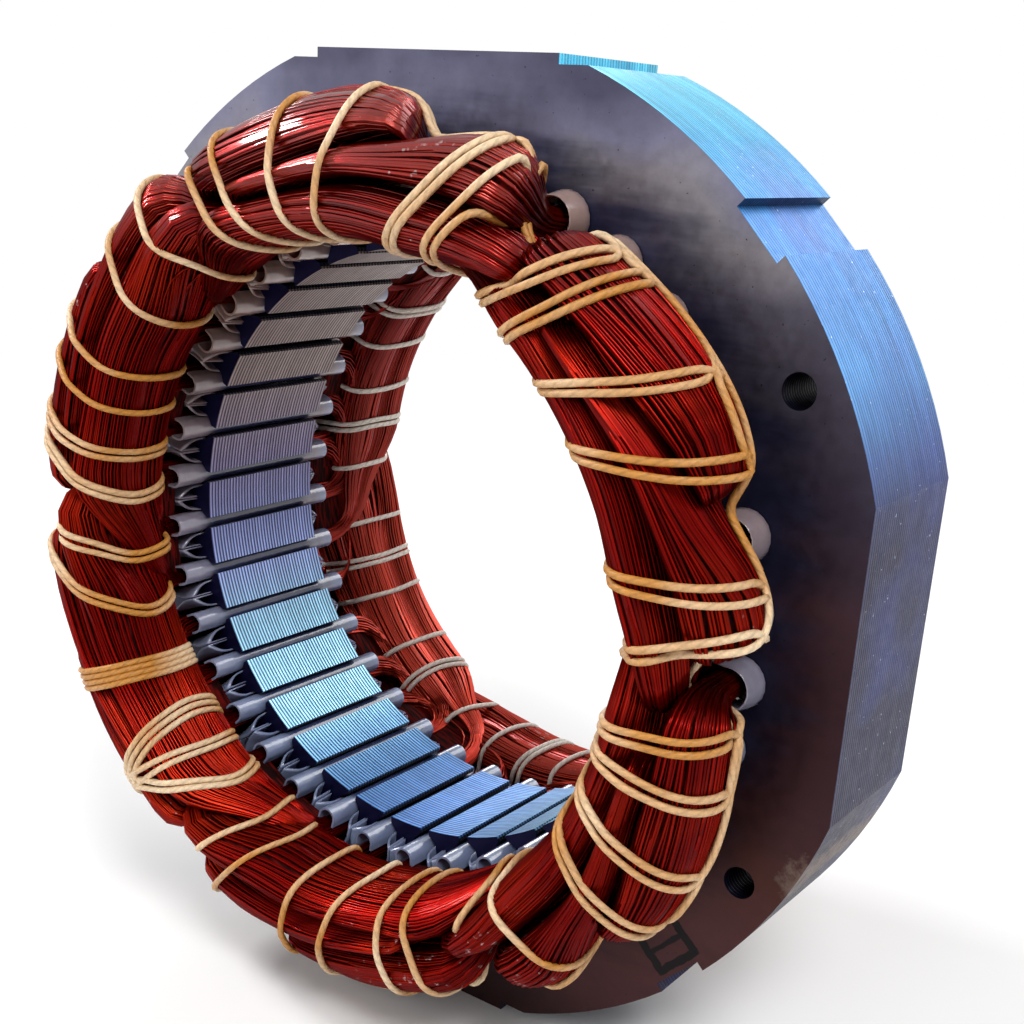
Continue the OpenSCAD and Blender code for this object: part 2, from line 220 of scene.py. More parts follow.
tinge = add(tree, "MapRange", {0: tinge, 1: 0.48, 2: 0.65, 4: 0.35})
edge = add(tree, "MixRGB", {"Fac": tinge, "Color1": edge, "Color2": linear("#4a58a6")})
# Painted shade: cut edges that face downwards are darkened to a deep blue.
painted_shade_below = add(
    tree, "VectorMath", {0: normal, 1: (0, 0, -1)}, output="Value", operation="DOT_PRODUCT"
)
painted_shade_below = add(tree, "MapRange", {0: painted_shade_below, 1: 0.1, 2: 0.7, 4: 0.75})
edge = add(tree, "MixRGB", {"Fac": painted_shade_below, "Color1": edge, "Color2": linear("#161a3c")})
nicks = add(tree, "TexNoise", {"Vector": place, "Scale": 1.3, "Detail": 2, "Roughness": 0.5})
nicks = add(tree, "MapRange", {0: nicks, 1: 0.72, 2: 0.75, 4: 0.8})
edge = add(tree, "MixRGB", {"Fac": nicks, "Color1": edge, "Color2": linear("#c2cfe6")})

# A knock low on the right edge has smeared the sheets and laid bare a browner metal.
knock_place = (78, 0, -35.5)
knock = add(tree, "VectorMath", {0: across, 1: knock_place}, output="Value", operation="DISTANCE")
knock = add(tree, "Math", {0: mottle, 1: 9, 2: knock}, operation="MULTIPLY_ADD")
knock = add(tree, "MapRange", {0: knock, 1: 8, 2: 10.5, 3: 0.9, 4: 0})

# Tooth tips: their colour by height is painted light, blue-white low in the bore where the tips
# face up into the light, lilac in the middle and taupe above.
tip_height = add(tree, "MapRange", {0: axes["Z"], 1: -50, 2: 50})
tip_stops = (
    (0, "#4f8ed6"), (0.1, "#a2e0ff"), (0.26, "#a8def8"), (0.36, "#aec2f8"), (0.44, "#949ed0"),
    (0.56, "#8f86a8"), (0.74, "#a8968e"),
)
tip = add(tree, "ValToRGB", {"Fac": tip_height}, stops=tip_stops)
at_tip = add(tree, "Math", {0: radius, 1: 50.4}, operation="LESS_THAN")
edge = add(tree, "MixRGB", {"Fac": at_tip, "Color1": edge, "Color2": tip})

# No light reaches the slots' walls and the through holes.
in_slot = add(tree, "MapRange", {0: radius, 1: 67, 2: 69, 3: 1, 4: 0})
in_slot = add(tree, "Math", {0: in_slot, 1: at_tip}, operation="SUBTRACT", use_clamp=True)
hole = add(tree, "VectorMath", {0: across}, operation="ABSOLUTE")
hole = add(tree, "VectorMath", {0: hole, 1: hole_place}, output="Value", operation="DISTANCE")
hole = add(tree, "Math", {0: hole, 1: hole_r}, operation="LESS_THAN")
inside = add(tree, "Math", {0: in_slot, 1: hole}, operation="MAXIMUM")

# Each sheet has its own tone, and the seams are darkest at the tips.
tone = add(tree, "MapRange", {0: sheet_tone, 3: 0.82, 4: 1.08})
edge = add(tree, "MixRGB", {"Fac": 1, "Color1": edge, "Color2": tone}, blend_type="MULTIPLY")
seam_start = add(tree, "MapRange", {0: at_tip, 3: 0.22, 4: 0.16})
seam_end = add(tree, "MapRange", {0: at_tip, 3: 0.42, 4: 0.3})
seam_depth = add(tree, "MapRange", {0: at_tip, 3: 0.5, 4: 0.88})
seam_dark = add(tree, "MapRange", {0: seam, 1: seam_start, 2: seam_end, 3: 0, 4: seam_depth})
seam_tint = linear("#5a5674")
seam_colour = add(
    tree, "MixRGB", {"Fac": 1, "Color1": edge, "Color2": seam_tint}, blend_type="MULTIPLY"
)
edge = add(tree, "MixRGB", {"Fac": seam_dark, "Color1": edge, "Color2": seam_colour})
edge = add(tree, "MixRGB", {"Fac": inside, "Color1": edge, "Color2": linear("#0b0b22")})

colour = add(tree, "MixRGB", {"Fac": on_face, "Color1": edge, "Color2": face})
colour = add(tree, "MixRGB", {"Fac": knock, "Color1": colour, "Color2": linear("#6a5a52")})
tree.links.new(colour, shader.inputs["Base Color"])
shader.inputs["Metallic"].default_value = 0.75
roughness = add(tree, "MapRange", {0: mottle, 1: 0.3, 2: 0.7, 3: 0.36, 4: 0.5})
tree.links.new(roughness, shader.inputs["Roughness"])
seam_height = add(tree, "MapRange", {0: seam, 1: 0.3, 2: 0.5, 3: 1, 4: 0})
height = add(tree, "MixRGB", {"Fac": on_face, "Color1": seam_height, "Color2": mottle})
depth = add(tree, "MapRange", {0: on_face, 3: 0.00012, 4: 0.00003})
bump = add(tree, "Bump", {"Height": height, "Strength": 0.6, "Distance": depth})
tree.links.new(bump, shader.inputs["Normal"])


def give(name, material):
    """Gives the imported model's own piece of that name this material and no other."""
    nodes[name].data.materials.clear()
    nodes[name].data.materials.append(material)


for name in ("core_pack", "front_end_lamination", "back_end_lamination"):
    give(name, steel)

# ---- Slot insulation ----
# Polyester film, folded to line each slot, with a cuff turned back at each end and its
# bore-side corners bent over the tooth until they meet. A strip bent into an arch closes
# the slot. Varnish has clouded the film: it is milky and glossy.

# In mm: the width of a tooth, and the radius of the slots' bottom. The pitch is the
# angle from one slot to the next.
tooth = 4.2
slot_bottom = 66
pitch = math.radians(10)
# For each end: its way along the axis, where the core's face lies, and in mm how deep the
# ring of end turns reaches, how far off the core it is lifted, and how far it swells.
sides = {
    "front": {"way": -1, "face": front_face, "reach": 26, "lift": 8, "swell": 7.7},
    "back": {"way": 1, "face": back_face, "reach": 34, "lift": 12, "swell": 4},
}


def placed(side, r, depth, turn):
    """A point r from the axis, that deep out of the core's face on a side, at an angle."""
    y = side["face"] + side["way"] * depth
    return Vector((r * math.cos(turn), y, axis_height + r * math.sin(turn))) * MM


def clamp(value):
    """The value kept between 0 and 1."""
    return max(0.0, min(1.0, value))


def smooth(value):
    """A rise from 0 to 1 that starts and ends gently."""
    value = clamp(value)
    return value * value * (3 - 2 * value)


def add_body(shape, paths, material_index=0):
    """Adds a closed body whose skin runs along these paths, which stand in a ring."""
    made = bmesh.ops.create_grid(shape, x_segments=len(paths), y_segments=len(paths[0]) - 1, size=1)
    grid = sorted(made["verts"], key=lambda v: (round(v.co.x, 5), round(v.co.y, 5)))
    rows = len(paths[0])
    for i, vertex in enumerate(grid):
        vertex.co = paths[(i // rows) % len(paths)][i % rows]
    faces = {f for v in grid for f in v.link_faces}
    bmesh.ops.remove_doubles(shape, verts=grid, dist=1e-6)
    faces = {f for f in faces if f.is_valid}
    rims = {e for f in faces for e in f.edges if e.is_boundary}
    faces |= set(bmesh.ops.holes_fill(shape, edges=list(rims), sides=0)["faces"])
    bmesh.ops.recalc_face_normals(shape, faces=list(faces))
    for face_made in faces:
        face_made.material_index = material_index
        face_made.smooth = True


def new_piece(name, mesh, materials):
    """An object of that mesh and materials, on the motor's one body."""
    piece = bpy.data.objects.new(name, mesh)
    scene.collection.objects.link(piece)
    for material in materials:
        mesh.materials.append(material)
    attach(piece, "root")
    return piece


film, tree, shader = new_material("polyester_film_varnished")
place, axes = from_axis(tree)
# The film's colour is partly painted reflection: bluish grey low down and brownish grey above, by
# height.
cloud = add(tree, "TexNoise", {"Vector": place, "Scale": 0.16, "Detail": 5, "Roughness": 0.6})
upward = add(tree, "Math", {0: cloud, 1: 16, 2: axes["Z"]}, operation="MULTIPLY_ADD")
upward = add(tree, "MapRange", {0: upward, 1: -28, 2: 42})
film_tone_and_painted_light = add(
    tree, "MixRGB", {"Fac": upward, "Color1": linear("#7f8cab"), "Color2": linear("#957c74")}
)
cloud_shade = add(tree, "MapRange", {0: cloud, 1: 0.35, 2: 0.65, 3: 0.8, 4: 1.1})
film_tone_and_painted_light = add(tree, "MixRGB", {"Fac": 1, "Color1": film_tone_and_painted_light, "Color2": cloud_shade}, blend_type="MULTIPLY")
# Painted light: the far ends are lighter and bluer, as though lit by a blue light.
far_end = add(tree, "MapRange", {0: axes["Y"], 1: 12, 2: 16, 4: 0.6})
film_tone_and_painted_light = add(tree, "MixRGB", {"Fac": far_end, "Color1": film_tone_and_painted_light, "Color2": linear("#a6bbea")})
# Painted shade: between the teeth the film is darker, where it lies in the slots' shade.
core_middle = (front_face + back_face) / 2
within = add(tree, "Math", {0: axes["Y"], 1: core_middle}, operation="SUBTRACT")
within = add(tree, "Math", {0: within}, operation="ABSOLUTE")
within = add(
    tree, "MapRange", {0: within, 1: 11, 2: 15, 3: 0.9, 4: 0}, interpolation_type="SMOOTHSTEP"
)
film_tone_and_painted_light = add(tree, "MixRGB", {"Fac": within, "Color1": film_tone_and_painted_light, "Color2": linear("#242c56")})
tree.links.new(film_tone_and_painted_light, shader.inputs["Base Color"])
shader.inputs["Roughness"].default_value = 0.19
shader.inputs["IOR"].default_value = 1.6
shader.inputs["Subsurface Weight"].default_value = 0.3
shader.inputs["Coat Weight"].default_value = 0.5
shader.inputs["Coat Roughness"].default_value = 0.06
shader.inputs["Subsurface Radius"].default_value = (1, 0.6, 0.5)
shader.inputs["Subsurface Scale"].default_value = 0.001
wrinkles = add(tree, "TexNoise", {"Vector": place, "Scale": 0.5, "Detail": 3, "Roughness": 0.5})
bump = add(tree, "Bump", {"Height": wrinkles, "Strength": 0.4, "Distance": 0.0003})
tree.links.new(bump, shader.inputs["Normal"])


def film_outline(grow, over, edge_r):
    """Half of the film's outline in a slot, as (radius, way across) pairs.

    It runs from the edge by the bore out to the slot's bottom. Over bends it that far
    over the tooth towards the bore.
    """
    points = []
    middle = (slot_bottom + tooth / 2) / (1 + math.tan(pitch / 2))
    round_r = slot_bottom - middle
    for k in range(10):
        r = edge_r + (middle - edge_r) * (k / 9) ** 1.3
        near = smooth((61 - r) / 6)
        wall = r * math.tan(pitch / 2) - tooth / 2
        wide = (0.5 + 0.5 * near) * grow if grow > 0 else grow
        points.append((r, wall + min(wide + over * near, tooth / 2 - 0.1)))
    for k in range(1, 6):
        turn = math.pi / 2 * k / 5
        out = round_r + (0.5 * grow if grow > 0 else grow)
        points.append((middle + out * math.sin(turn), out * math.cos(turn)))
    return points


# The folded cuff, cut across: up the slot's wall, round the fold and back down over the
# tooth. Each place is (out of the core, over the tooth, how far the bend takes it).
cuff_section = (
    (-1, -0.02, 0), (0.1, -0.02, 0), (1.1, -0.02, 0.08), (2, -0.02, 0.36), (2.7, 0, 0.78),
    (3.3, 0, 1.3), (3.7, 0, 1.72), (3.3, 0.2, 1.6), (2.4, 0.6, 1.2), (1.2, 1, 0.8),
    (0.3, 1.3, 0.5), (0.15, 1.42, 0.48), (0.3, 1.55, 0.45), (1.3, 1.3, 0.7), (2.6, 0.9, 1.1),
    (3.7, 0.45, 1.55), (4.3, 0.15, 1.85), (4.55, 0, 1.85), (4.3, -0.2, 1.7), (3.8, -0.28, 1.35),
    (3.1, -0.3, 0.85), (2.3, -0.3, 0.4), (1.3, -0.3, 0.1), (0.1, -0.3, 0), (-1, -0.3, 0),
)


def film_ring(side, slot, mixer):
    """The paths that run round one slot's film, one for each place in its section."""
    edge = mixer.uniform(52.3, 52.9)
    stand = mixer.uniform(0.94, 1.02)
    bend = mixer.uniform(0.93, 1.04)
    paths = []
    for out, grow, over in cuff_section:
        half = film_outline(grow, over * bend, edge + 0.12 * max(out, 0))
        outline = half + [(r, -w) for r, w in reversed(half[:-1])]
        depth = out * stand if out > 0 else out
        paths.append(
            [placed(side, math.hypot(r, w), depth, slot + math.atan2(w, r)) for r, w in outline]
        )
    return paths


for q, quarter in enumerate("abcd"):
    shape = bmesh.new()
    for i in range(9 * q, 9 * q + 9):
        for side in sides.values():
            mixer = random.Random(i * 7 + side["way"])
            add_body(shape, film_ring(side, (i + 0.5) * pitch, mixer))
    mesh = bpy.data.meshes.new("slot_film_" + quarter)
    shape.to_mesh(mesh)
    shape.free()
    piece = new_piece("slot_film_" + quarter, mesh, (film,))
    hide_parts("slot_liners_" + quarter)
    give("slot_closures_" + quarter, film)

# ---- Windings ----
# Concentric coils of enamelled copper wire, laid in by hand and pressed into one ring
# at each end. In each pole a short coil lies outermost, a long coil comes out from
# under it, and a start coil lies towards the bore. Each wire is a thin tube.

pole_centre = 4 * pitch
# In mm: the wire's thickness, the ring's inner radius, its outer radius and depth where
# it stands nearest to the core, and the depths at which a wire leaves its slot's film
# and ends, out of sight.
wire = 0.57
ring_in, ring_foot = 51.7, 66.5
foot = 6.8
mouth_depth, end_depth = 4.4, -3
# In slot pitches: how much of its coil a wire takes to climb out of a slot, and its steps.
climb, wire_step = 0.6, 0.28
# Shares: how deep in the ring its belly lies, and how far across it its face stands
# highest. The power gives a bundle its section, between round at 1 and square at 0.
belly_share, crest = 0.4, 0.4
section_power = 0.7
# Angles run along the ring in slot pitches from a main pole's middle. The edges give
# the share of the ring's width, 0 at the bore and 1 outside, as (angle, share) pairs.
# Each end goes into two slots, in the layer by the bore or the one behind it. Sinks is
# the share of its height that a coil loses towards its far end.
coils = {
    "short": {
        "span": (-2.1, 1.8),
        "inner": [(-2.1, 0.74), (-1.5, 0.7), (-0.5, 0.52), (0.5, 0.46), (1.8, 0.46)],
        "outer": [(-2.1, 0.88), (-1.6, 0.98), (-1, 1), (0, 0.93), (0.8, 0.86), (1.8, 0.8)],
        "slots": ((-1.5, -0.5), (1.5, 0.5)),
        "layers": ("behind", "behind"),
        "sinks": 0,
        "wires": 98,
    },
    "long": {
        "span": (-3.8, 1),
        "inner": [(-3.8, 0.56), (-2.8, 0.46), (-1, 0.4), (0, 0.34), (1, 0.34)],
        "outer": [
            (-3.8, 0.86), (-3.2, 1), (-2.7, 0.9), (-2.2, 0.7), (-1.5, 0.66), (-0.5, 0.5),
            (0.3, 0.44), (1, 0.44),
        ],
        "slots": ((-3.5, -2.5), (0.5, -0.5)),
        "layers": ("behind", "bore"),
        "sinks": 0,
        "wires": 96,
    },
    "start": {
        "span": (1.8, 9.4),
        "inner": [(1.8, 0.3), (2, 0.27), (3.5, 0), (9.4, 0)],
        "outer": [
            (1.8, 0.5), (2.2, 0.54), (3.2, 0.44), (5, 0.38), (5.8, 0.33), (7, 0.33),
            (7.3, 0.42), (7.6, 0.4), (7.9, 0.3), (9.4, 0.12),
        ],
        "slots": ((1.5, 2.5), (9.5, 8.5)),
        "layers": ("bore", "bore"),
        "sinks": 0.55,
        "wires": 106,
    },
}
# In mm: the radius of each layer's middle, and half its depth and half its width.
layer_middle = {"bore": 56.2, "behind": 62.0}
layer_half = {"bore": (1.9, 1.8), "behind": (2.3, 2.2)}


def squared(value):
    """A sine or cosine, changed to draw a bundle's section instead of a circle."""
    return math.copysign(abs(value) ** section_power, value)


def along(table, at):
    """The value at that angle in a table of pairs, with its corners rounded off."""
    total = 0
    for shift in (-0.5, -0.3, -0.1, 0.1, 0.3, 0.5):
        x = min(max(at + shift, table[0][0]), table[-1][0])
        for (a, low), (b, high) in zip(table, table[1:]):
            if x <= b:
                total += low + (high - low) * (x - a) / (b - a)
                break
    return total / 6


def belly(side):
    """The depth at which the ring is widest."""
    return foot + belly_share * (side["reach"] - foot)


def ring_radius(side, share, depth):
    """The radius at a share of the ring's width, at that depth."""
    rise = clamp((depth - foot) / (belly(side) - foot))
    return ring_in + share * (ring_foot + side["swell"] * math.sin(math.pi / 2 * rise) - ring_in)


def ring_face(side, share):
    """Depth of the ring's face: full towards the bore, and sloping off outside."""
    power, width = (2.6, crest) if share < crest else (1.5, 1 - crest)
    off_crest = min(1, abs(share - crest) / width)
    return belly(side) + (side["reach"] - belly(side)) * (1 - off_crest**power) ** (1 / power)


def coil_section(coil, side, at, t, rho):
    """A point of a coil's section, (radius, depth). t goes round it, rho 1 is its skin."""
    sunk = coil["sinks"] * smooth((at - coil["span"][1] + 2.2) / 2)
    gap = 0.012
    inner = along(coil["inner"], at) + gap
    outer = max(along(coil["outer"], at) - gap, inner + 2 * gap)
    share = (outer + inner) / 2 + (outer - inner) / 2 * rho * squared(math.cos(t))
    low, high = side["lift"], ring_face(side, share)
    high = high + (low - high) * sunk
    depth = (high + low) / 2 + (high - low) / 2 * rho * squared(math.sin(t))
    return ring_radius(side, share, depth), depth


def even_spread(count, width, height):
    """Angles t that stand evenly round a section of that width and height."""
    fine = [2 * math.pi * k / 720 for k in range(721)]
    rim = [(width * squared(math.cos(t)), height * squared(math.sin(t))) for t in fine]
    travelled = [0]
    for (a, b), (c, d) in zip(rim, rim[1:]):
        travelled.append(travelled[-1] + math.hypot(c - a, d - b))
    spread, k = [], 0
    for n in range(count):
        while travelled[k] < travelled[-1] * n / count:
            k += 1
        spread.append(fine[k])
    return spread


def mouth_point(side, index, slot, layer, u, v, depth):
    """A point in a slot: u across its depth and v across its width, each -1 to 1."""
    turn = pole_centre + (slot + 6 * index) * pitch
    r = layer_middle[layer] + layer_half[layer][0] * u
    return placed(side, r, depth, turn + layer_half[layer][1] * v / r)


def dive(path, side, mouth, deep):
    """Points from a path's end, round a shoulder and straight down into a slot."""
    heading = (path[-1] - path[-2]).normalized()
    up = Vector((0, side["way"], 0))
    reach = (mouth - path[-1]).length
    bend = geometry.interpolate_bezier(
        path[-1], path[-1] + heading * reach * 0.5, mouth + up * reach * 0.42, mouth, 8
    )
    return bend[1:] + [deep]


def coil_path(coil, side, index, t, rho, seed, loose):
    """One wire's way: out of a slot, along the ring in its coil, and into another."""
    first, last = coil["span"]
    steps = max(8, round((last - first - 2 * climb) / wire_step))
    wander = random.Random(seed)
    drift = wander.gauss(0, 0.06) * loose
    u = rho * math.cos(t)
    v = rho * math.sin(t)
    mouths, ends = [], []
    for pair, layer, sign in zip(coil["slots"], coil["layers"], (-1, 1)):
        far = v + wander.gauss(0, 0.35 * loose) > -0.1
        slot = pair[0] if far else pair[1]
        ends.append(0.85 * (slot - pair[0]))
        side_way = sign * (v if far else v + 0.7)
        across = max(-1, min(1, side_way + wander.uniform(-0.25, 0.25) * loose))
        mouth = mouth_point(side, index, slot, layer, u, across, mouth_depth)
        deep = mouth_point(side, index, slot, layer, u, across * 0.9, end_depth)
        mouths.append((mouth, deep))
    start, end = first + climb + ends[0], last - climb + ends[1]
    points = []
    for step in range(steps + 1):
        at = start + (end - start) * step / steps
        around = Vector((1.3 * math.cos(t), 1.3 * math.sin(t), index * 3.1 + side["way"]))
        group = noise.noise(Vector((at * 0.35, 0, 0)) + around)
        own = noise.noise(Vector((at * 0.6, seed * 0.37, 4.2)))
        turned = t + loose * (0.12 * group + 0.02 * own) + drift * (step / steps - 0.5)
        lump = noise.noise(Vector((at * 0.45, 7, 0)) + around * 1.4)
        bundle = (turned * 9 / (2 * math.pi) + 0.15 * group) % 1
        crease = abs(2 * bundle - 1) ** 8
        pressed = rho * (1 - loose * (0.02 + 0.06 * lump + 0.06 * crease))
        r, depth = coil_section(coil, side, at, turned, min(pressed, 0.99))
        points.append(placed(side, r, depth, pole_centre + (at + 6 * index) * pitch))
    head = dive(points[::-1], side, *mouths[0])[::-1]
    tail = dive(points, side, *mouths[1])
    return head + points + tail


def tubes(name, paths, thickness, corners, twist=0, hearts=()):
    """A mesh of thin closed tubes along these paths, with that many corners.

    With a twist, in mm, the attribute lay counts the turns that strands take. Hearts
    give the middle of each path's bundle, and each tube turns one side away from it.
    """
    spots, faces, lays = [], [], []
    circle = [2 * math.pi * (k + 0.5) / corners for k in range(corners)]
    for n, path in enumerate(paths):
        first, travelled = len(spots), 0
        ahead = path[1] - path[0]
        out = ahead.orthogonal().normalized()
        for i, point in enumerate(path):
            turned = path[min(i + 1, len(path) - 1)] - path[max(i - 1, 0)]
            out.rotate(ahead.rotation_difference(turned))
            ahead = turned
            if hearts:
                out = point - hearts[n][i]
                out = (out - out.project(ahead)).normalized()
            beside = ahead.cross(out).normalized()
            for turn in circle:
                way_out = out * math.cos(turn) + beside * math.sin(turn)
                spots.append(point + way_out * (thickness / 2 * MM))
            if i == 0:
                continue
            base = first + (i - 1) * corners
            for k in range(corners):
                following = (k + 1) % corners
                here = (base + k, base + following)
                faces.append((*here, here[1] + corners, here[0] + corners))
            if twist:
                before = travelled
                travelled += (point - path[i - 1]).length / (twist * MM)
                for k in range(corners):
                    low, high = 2 * k / corners, 2 * (k + 1) / corners
                    lays += [before + low, before + high, travelled + high, travelled + low]
        faces.append(tuple(range(first + corners - 1, first - 1, -1)))
        faces.append(tuple(range(len(spots) - corners, len(spots))))
        lays += [0] * (2 * corners)
    mesh = bpy.data.meshes.new(name)
    mesh.from_pydata(spots, [], faces)
    mesh.polygons.foreach_set("use_smooth", [True] * len(faces))
    if twist:
        mesh.attributes.new("lay", "FLOAT", "CORNER").data.foreach_set("value", lays)
    return mesh


# Enamel: a clear red-brown coat on bright copper. Each wire has its own tone.
enamel, tree, shader = new_material("enamelled_copper_wire")
own_tone = add(tree, "NewGeometry", output="Random Per Island")
wire_colour = add(
    tree, "MixRGB", {"Fac": own_tone, "Color1": linear("#520302"), "Color2": linear("#840a04")}
)
place = add(tree, "TexCoord", output="Object")
patches = add(tree, "TexNoise", {"Vector": place, "Scale": 45, "Detail": 3})
patches = add(tree, "MapRange", {0: patches, 1: 0.45, 2: 0.72, 4: 0.5})
wire_colour = add(
    tree, "MixRGB", {"Fac": patches, "Color1": wire_colour, "Color2": linear("#b02c0e")}
)
# Painted light: the ring at the back is made lighter, most of all low down.
axes = add(tree, "SeparateXYZ", {0: place}).node.outputs
behind = add(tree, "MapRange", {0: axes["Y"], 1: back_face * MM, 2: 0.03, 4: 0.68})
low_down = add(tree, "MapRange", {0: axes["Z"], 1: 0.09, 2: 0.045, 3: 0.1})
painted_light_low_behind = add(tree, "Math", {0: behind, 1: low_down}, operation="MULTIPLY")
wire_colour = add(
    tree, "MixRGB", {"Fac": painted_light_low_behind, "Color1": wire_colour, "Color2": linear("#dc4830")}
)
# Specks of pale dust cling to the varnish, in places.
specks = add(tree, "TexNoise", {"Vector": place, "Scale": 600, "Detail": 2, "Roughness": 0.6})
speck_place = add(tree, "TexNoise", {"Vector": place, "Scale": 22, "Detail": 2})
specks = add(tree, "Math", {0: specks, 1: speck_place}, operation="MULTIPLY")
specks = add(tree, "MapRange", {0: specks, 1: 0.4, 2: 0.43, 4: 0.7})
wire_colour = add(
    tree, "MixRGB", {"Fac": specks, "Color1": wire_colour, "Color2": linear("#b9a0a0")}
)
tree.links.new(wire_colour, shader.inputs["Base Color"])
shader.inputs["Metallic"].default_value = 0.85
shader.inputs["Roughness"].default_value = 0.3
shader.inputs["Specular Tint"].default_value = linear("#c82a14")
shader.inputs["Coat Roughness"].default_value = 0.08
# Painted glints: the coat is made heavier on top and at the back, so that the lamps glint there.
on_top = add(tree, "MapRange", {0: axes["Z"], 1: 0.125, 2: 0.148, 3: 0.05, 4: 0.9})
painted_glint_coat = add(
    tree, "Math", {0: behind, 1: 0.6, 2: on_top}, operation="MULTIPLY_ADD", use_clamp=True
)
tree.links.new(painted_glint_coat, shader.inputs["Coat Weight"])

# Painted shade: the dark skin under the wires stands for the wires further in, lying in shade, and
# shows as streaks that run round the ring.
inner_wire, tree, shader = new_material("enamelled_copper_wire_in_shadow")
place, axes = from_axis(tree)
across = add(tree, "VectorMath", {0: place, 1: (1, 0, 1)}, operation="MULTIPLY")
around = add(tree, "Math", {0: axes["Z"], 1: axes["X"]}, operation="ARCTAN2")
around = add(tree, "Math", {0: around, 1: 7}, operation="MULTIPLY")
radius = add(tree, "VectorMath", {0: across}, output="Value", operation="LENGTH")
streak_place = add(tree, "CombineXYZ", {"X": radius, "Y": axes["Y"], "Z": around})
streaks = add(
    tree, "TexNoise", {"Vector": streak_place, "Scale": 1.6, "Detail": 2, "Roughness": 0.5}
)
streaks = add(tree, "MapRange", {0: streaks, 1: 0.42, 2: 0.6})
streak_colour = add(
    tree, "MixRGB", {"Fac": streaks, "Color1": linear("#180101"), "Color2": linear("#5e0a06")}
)
tree.links.new(streak_colour, shader.inputs["Base Color"])
shader.inputs["Roughness"].default_value = 0.8
shader.inputs["Specular IOR Level"].default_value = 0.08

groups = {"main": ("short", "long"), "start": ("start",)}
# In mm: a bundle's usual width and height, by which its wires are spaced.
bundle_size = (5, 7)
for side_name, side in sides.items():
    # The back's bundles have fewer wires, to keep the mesh light, and lie otherwise.
    share_drawn, seed_shift = (1, 0) if side_name == "front" else (0.85, 500)
    for index in range(6):
        for group, members in groups.items():
            paths, hearts = [], []
            shape = bmesh.new()
            for member in members:
                coil = coils[member]
                seed = 1000 * index + 97 * len(member) + seed_shift
                total = round(coil["wires"] * share_drawn)
                mixer = random.Random(seed)
                spread = even_spread(total, *bundle_size)
                for k in range(total):
                    t = spread[k] + mixer.uniform(-0.02, 0.02)
                    rho = 0.965 - mixer.random() ** 2 * 0.06
                    paths.append(coil_path(coil, side, index, t, rho, seed + k, 1))
                bundle = paths[-total:]
                heart = [sum(points, Vector()) / total for points in zip(*bundle)]
                hearts += [heart] * total
                skin = [
                    coil_path(coil, side, index, t, 0.82, seed, 0)[1:-1]
                    for t in even_spread(16, *bundle_size)
                ]
                add_body(shape, skin, 1)
            name = f"{side_name}_{group}_coils_{index + 1}"
            mesh = tubes(name + "_wires", paths, wire, 3, hearts=hearts)
            shape.from_mesh(mesh)
            shape.to_mesh(mesh)
            shape.free()
            piece = new_piece(name + "_wires", mesh, (enamel, inner_wire))
            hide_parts(name)

# The straight runs through the slots, which spread into the ring at both ends. Only the
# wires on each bundle's skin are made. In mm: how far each layer spreads outwards.
wires_in_slot = 18
spreads = {"bore": -1.2, "behind": 2.5}
for layer, node_name in (("bore", "top_coil_sides"), ("behind", "bottom_coil_sides")):
    paths = []
    for slot in range(36):
        mixer = random.Random(slot * 31 + len(layer))
        for k in range(wires_in_slot):
            t = 2 * math.pi * (k + mixer.random() * 0.5) / wires_in_slot
            u = 0.92 * math.cos(t)
            v = 0.92 * math.sin(t)
            halves = []
            for side in sides.values():
                lean = (1 if (slot + (side["way"] > 0) * 3) % 6 < 3 else -1) * (0.9 + 0.5 * v)
                turn = pole_centre + ((slot - 3.5) + lean) * pitch
                r = layer_middle[layer] + layer_half[layer][0] * u + spreads[layer]
                tip = placed(side, r, side["lift"] + 2.5 + 1.5 * u, turn)
                mouth = mouth_point(side, 0, slot - 3.5, layer, u, v, 4.5)
                up = Vector((0, side["way"], 0))
                reach = (tip - mouth).length
                level = Vector((-math.sin(turn), 0, math.cos(turn)))
                heading = level * math.copysign(1, lean)
                leave, arrive = mouth + up * reach * 0.6, tip - heading * reach * 0.4
                halves.append(geometry.interpolate_bezier(mouth, leave, arrive, tip, 6))
            paths.append(halves[0][::-1] + halves[1])
    mesh = tubes(node_name + "_wires", paths, wire, 3)
    piece = new_piece(node_name + "_wires", mesh, (enamel,))
    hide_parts(node_name)

# ---- Lacing ----
# Twisted polyester cord, two strands, varnished to an ochre. It is looped round the
# end turns by hand, in single and double turns, with runs between them outside.

# In mm: the cord's thickness, and the length in which its strands make one turn.
cord_d = {"front": 1.15, "back": 1.05}
twist = 2.4
cord_corners, turn_steps = 6, 60
# Each turn: its angle at the bore and outside, in degrees, and how many times round.
front_turns = [
    (16, 11, 2), (2, 6, 2), (-9, -6, 2), (-12, -14, 2), (-18, -25, 2), (-26, -34, 2),
    (-49, -46, 1), (-53, -65, 1), (-68, -69, 1), (-73, -76, 1), (-82, -90, 1), (-93, -97, 1),
    (-103, -113, 1), (-111, -119, 1), (-121, -136, 2), (-130, -134, 2), (-139, -133, 3),
    (-149, -152, 4), (-160, -174, 2), (-171, -180, 2), (-183, -192, 2), (-192, -195, 2),
    (-201, -204, 1), (-209, -210, 1), (-222, -226, 1), (-237, -233, 1), (-251, -244, 1),
    (-257, -249, 1), (-264, -261, 1), (-269, -272, 1), (-281, -291, 2), (-289, -296, 2),
    (-298, -310, 2), (-306, -314, 2), (-314, -326, 2), (-324, -336, 2),
]
# The back's turns are spread evenly, each third one double.
back_turns = []
mixer = random.Random(6)
for k in range(34):
    turn = -10.5 * k + mixer.uniform(-2, 2)
    back_turns.append((turn, turn + mixer.uniform(-4, 4), 1 + (k % 3 == 0)))
